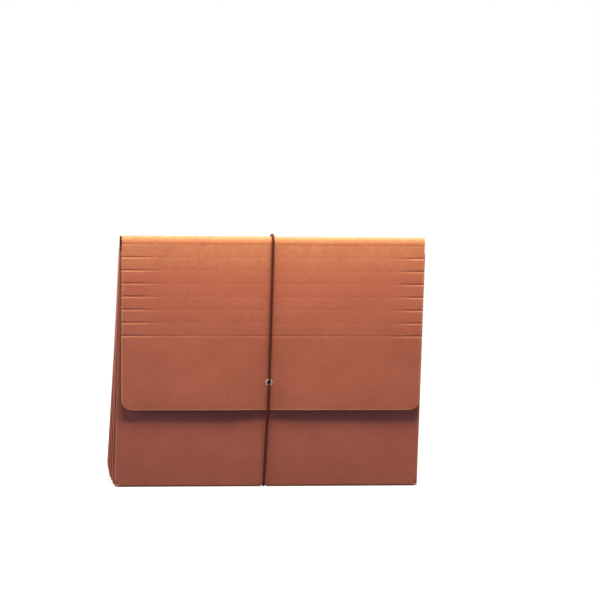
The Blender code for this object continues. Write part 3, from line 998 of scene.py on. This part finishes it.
class WALLET_OT_elastic(bpy.types.Operator):
    """Make the elastic cord and its knot"""

    bl_idname = "wallet.elastic"
    bl_label = "Elastic"

    def execute(self, context):
        radius = context.scene.wallet_elastic.diameter / 2
        braid = braided_elastic(context.scene.wallet_elastic)

        def strand(name, points, taper=None):
            return piece(name, cord_mesh(points, radius, taper=taper), braid, ["elastic_cord"])

        self.over_flap(strand, radius)
        self.round_back(strand, radius)
        self.up_front(strand, radius)
        self.knot(braid, radius)
        return {"FINISHED"}

    def over_flap(self, strand, radius):
        """The runs down the flap to the eyelet, cut where the flap folds, and the run over the bend."""
        lie = CORD_LIFT + radius
        scores = [number * PITCH for number in FOLDED_SCORES]
        top = strand("cord_flap_top", down_flap(0, scores[0] - CORD_MARGIN, lie))
        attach(top, "flap_upper")
        links = (("flap_upper", "flap_middle"), ("flap_middle", "flap_lower"), ("flap_lower", "tongue"))
        for (first, second), score, after in zip(links, scores, scores[1:] + [None]):
            if after:
                points = down_flap(score - CORD_MARGIN, after - CORD_MARGIN, lie)
            else:
                points = down_flap(score - CORD_MARGIN, EYELET_DOWN - 16 * MM, lie) + into_eyelet(-1, lie)
            made = strand(f"cord_flap_{second}", points, None if after else thinned)
            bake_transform(made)
        turns = [1 - i / CORD_ARC_POINTS for i in range(CORD_ARC_POINTS + 1)]
        arc = [bend_point(turn, lie) + ACROSS * EYELET.x for turn in turns]
        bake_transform(strand("cord_bend", arc))

    def round_back(self, strand, radius):
        """The run down the back and under the base."""
        lie = CORD_LIFT + radius
        lean = CORD_BASE_X - EYELET.x
        base_x = ACROSS * CORD_BASE_X
        back = []
        for share in (1.0, 0.85, 0.7, 0.55, 0.4, 0.25, 0.12, 0.05):
            x = EYELET.x + lean * ease(*CORD_LEANS, share)
            back.append(on_back(BACK_HEIGHT * share, lie) + ACROSS * x)
        back += [
            on_back(5 * MM, lie) + base_x,
            on_back(2.6 * MM, 0.7 * lie) + base_x,
            under_base(HALF_DEPTH - 1.2 * MM, radius),
            under_base(HALF_DEPTH - 4 * MM, radius),
            under_base(HALF_DEPTH / 2, radius),
            under_base(-HALF_DEPTH / 2, radius),
            under_base(CORD_TURN - HALF_DEPTH, radius),
        ]
        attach(strand("cord_back_and_base", back), "pocket")

    def up_front(self, strand, radius):
        """The run up the front panel, and the run up the tongue to the eyelet."""
        lie = CORD_LIFT + radius
        hem = on_flap(0, FLAP_LENGTH) - FRONT_FOOT
        rise, flap_off = hem.dot(-DOWN), hem.dot(OUT)
        turn = under_base(CORD_TURN - HALF_DEPTH, radius)
        route = (
            (2.6 * MM, 0.7 * lie, 0.0),
            (5 * MM, lie, 0.0),
            (14 * MM, lie, 0.15),
            (0.5 * rise, lie, 0.5),
            (rise - 14 * MM, lie + 0.3 * MM, 0.82),
            (rise - 4 * MM, 0.75 * flap_off + lie, 0.95),
            (rise, flap_off + lie, 1.0),
        )
        front = [turn]
        for height, out, share in route:
            x = CORD_BASE_X + (CORD_HEM_X - CORD_BASE_X) * share
            front.append(on_front(height, out) + ACROSS * x)
        lower = strand("cord_front", front)
        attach(lower, "front")
        # Steeper than the panel, so that the strand flattens clear of the base.
        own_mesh(lower)
        tail = [
            on_flap(CORD_HEM_X, FLAP_LENGTH, lie),
            on_flap(CORD_HEM_X, FLAP_LENGTH - 6 * MM, lie),
            on_flap(EYELET.x, EYELET_DOWN + 14 * MM, lie),
        ]
        held = strand("cord_tongue", tail + into_eyelet(1, lie), thinned)
        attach(held, "tongue")
        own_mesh(held)

    def knot(self, braid, radius):
        """The two ends tied flat behind the eyelet."""
        seat = on_flap(EYELET.x, EYELET_DOWN) - OUT * (SHEET + EYELET_LIP + KNOT_BEHIND)
        points = []
        for i in range(KNOT_POINTS + 1):
            angle = math.tau * KNOT_TURNS * i / KNOT_POINTS
            reach = KNOT_REACH + KNOT_SPREAD * math.cos(KNOT_LOBES * angle)
            height = KNOT_HEIGHT * math.sin(KNOT_LOBES * angle)
            flat = ACROSS * math.cos(angle) + DOWN * math.sin(angle)
            points.append(seat + flat * reach + OUT * height)
        loops = cord_mesh(points, radius * KNOT_THIN, KNOT_STEP)
        knot = piece("tied_ends", loops, braid, ["elastic_knot"])
        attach(knot, "tongue")


class WALLET_OT_stage(bpy.types.Operator):
    """Make the camera, the floor and the light"""

    bl_idname = "wallet.stage"
    bl_label = "Stage"

    def execute(self, context):
        stage = context.scene.wallet_stage
        context.scene.view_settings.view_transform = "Standard"
        self.camera(context, stage)
        self.floor(context, stage)
        self.lights(context, stage)
        return {"FINISHED"}

    def camera(self, context, stage):
        """A long lens at the photograph's angle."""
        turn, rise = stage.azimuth, stage.elevation
        away = Vector((math.sin(turn) * math.cos(rise), -math.cos(turn) * math.cos(rise), math.sin(rise)))
        data = bpy.data.cameras.new("camera")
        data.lens = stage.lens
        data.sensor_width = SENSOR
        data.clip_end = FAR
        camera = bpy.data.objects.new("camera", data)
        camera.location = Vector(stage.aim) + away * stage.distance
        aimed = (-away).to_track_quat("-Z", "Y").to_matrix().to_4x4()
        rolled = aimed @ Matrix.Rotation(stage.roll, 4, "Z")
        camera.rotation_euler = rolled.to_euler()
        context.scene.collection.objects.link(camera)
        context.scene.camera = camera

    def floor(self, context, stage):
        """A wide matt floor, white to the camera and dim to the object, that keeps a soft shadow."""
        made, tree, shader = new_material("matt_floor", Roughness=0.9, Specular_IOR_Level=0.1)
        seen = self.seen(tree)
        tone = add(tree, "ShaderNodeMix", {
            "Factor": seen, "A": (*stage.floor, 1), "B": (1, 1, 1, 1)}, data_type="RGBA")
        tree.links.new(tone.outputs["Result"], shader.inputs["Base Color"])
        where = add(tree, "ShaderNodeTexCoord").outputs["Object"]
        away = add(tree, "ShaderNodeVectorMath", {0: where}, operation="LENGTH")
        glow = add(tree, "ShaderNodeMapRange", {
            "Value": away.outputs["Value"], "From Min": FLOOR_NEAR, "From Max": FLOOR_FAR,
            "To Min": stage.white, "To Max": 1.0})
        share = add(tree, "ShaderNodeMath", {0: seen, 1: glow.outputs["Result"]}, operation="MULTIPLY")
        white = add(tree, "ShaderNodeEmission", {"Color": (1, 1, 1, 1), "Strength": 1.0})
        both = add(tree, "ShaderNodeMixShader", {
            0: share.outputs["Value"], 1: shader.outputs["BSDF"], 2: white.outputs["Emission"]})
        tree.links.new(both.outputs["Shader"], tree.nodes["Material Output"].inputs["Surface"])
        work = bmesh.new()
        bmesh.ops.create_grid(work, x_segments=2, y_segments=2, size=FLOOR_HALF)
        floor = bpy.data.objects.new("floor", finished(work))
        floor.data.materials.append(made)
        context.scene.collection.objects.link(floor)

    def lights(self, context, stage):
        """A warm lamp overhead that fades down the face, plain ones at the sides and back, a cool fill."""
        plain = (1, 1, 1)
        self.lamp(context, "overhead", stage.key, stage.key_colour, stage.key_place, KEY_SIZE, square=True)
        self.lamp(context, "left", stage.left, plain, stage.left_place, SIDE_SIZE)
        self.lamp(context, "right", stage.right, plain, stage.right_place, SIDE_SIZE)
        self.lamp(context, "back", stage.back, plain, stage.back_place, BACK_SIZE)
        world = bpy.data.worlds.new("studio")
        context.scene.world = world
        world.use_nodes = True
        tree = world.node_tree
        fill = tree.nodes["Background"]
        fill.inputs["Color"].default_value = (*stage.fill_colour, 1)
        fill.inputs["Strength"].default_value = stage.fill
        seen = self.seen(tree)
        white = add(tree, "ShaderNodeBackground", {"Color": (1, 1, 1, 1), "Strength": 1.0})
        both = add(tree, "ShaderNodeMixShader", {
            0: seen, 1: fill.outputs["Background"], 2: white.outputs["Background"]})
        tree.links.new(both.outputs["Shader"], tree.nodes["World Output"].inputs["Surface"])

    def seen(self, tree):
        """1 for what the camera sees, straight on, mirrored or through something clear, and otherwise 0."""
        rays = add(tree, "ShaderNodeLightPath").outputs
        mirrored = add(tree, "ShaderNodeMath", {0: rays["Is Camera Ray"], 1: rays["Is Glossy Ray"]},
                       operation="MAXIMUM")
        through = add(tree, "ShaderNodeMath", {0: mirrored.outputs["Value"], 1: rays["Is Transmission Ray"]},
                      operation="MAXIMUM")
        return through.outputs["Value"]

    def lamp(self, context, name, power, colour, place, size, square=False):
        """A soft rectangular lamp turned to the object."""
        data = bpy.data.lights.new(name, "AREA")
        data.shape = "RECTANGLE"
        data.size, data.size_y = size
        data.energy = power
        data.color = colour
        made = bpy.data.objects.new(name, data)
        made.location = place
        aim = LIGHT_AIM.copy()
        # Aimed square to the panels, so that its long side lies along the flap.
        if square:
            aim.x = made.location.x
        made.rotation_euler = (aim - made.location).to_track_quat("-Z", "Y").to_euler()
        context.scene.collection.objects.link(made)


class WALLET_PT_sidebar(bpy.types.Panel):
    """The wallet's pieces and settings"""

    bl_idname = "WALLET_PT_sidebar"
    bl_label = "File wallet"
    bl_space_type = "VIEW_3D"
    bl_region_type = "UI"
    bl_category = "Wallet"

    def draw(self, context):
        for operator in OPERATORS:
            self.layout.operator(operator.bl_idname)
        for group in GROUPS:
            settings = getattr(context.scene, group)
            for name in settings.__annotations__:
                self.layout.prop(settings, name)


GROUPS = {"wallet_paper": WalletPaper, "wallet_elastic": WalletElastic, "wallet_stage": WalletStage}
OPERATORS = (
    WALLET_OT_stage, WALLET_OT_panels, WALLET_OT_gussets, WALLET_OT_flap, WALLET_OT_eyelet, WALLET_OT_elastic)
CLASSES = (*GROUPS.values(), *OPERATORS, WALLET_PT_sidebar)


def register():
    """Add the operators, the panel and the settings."""
    for item in CLASSES:
        bpy.utils.register_class(item)
    for name, group in GROUPS.items():
        setattr(bpy.types.Scene, name, PointerProperty(type=group))


def unregister():
    """Take them out again."""
    for name in GROUPS:
        delattr(bpy.types.Scene, name)
    for item in reversed(CLASSES):
        bpy.utils.unregister_class(item)


def main():
    """Dress the wallet and set the stage."""
    register()
    bpy.ops.wallet.stage()
    bpy.ops.wallet.panels()
    bpy.ops.wallet.gussets()
    bpy.ops.wallet.flap()
    bpy.ops.wallet.eyelet()
    bpy.ops.wallet.elastic()


if __name__ == "__main__":
    main()
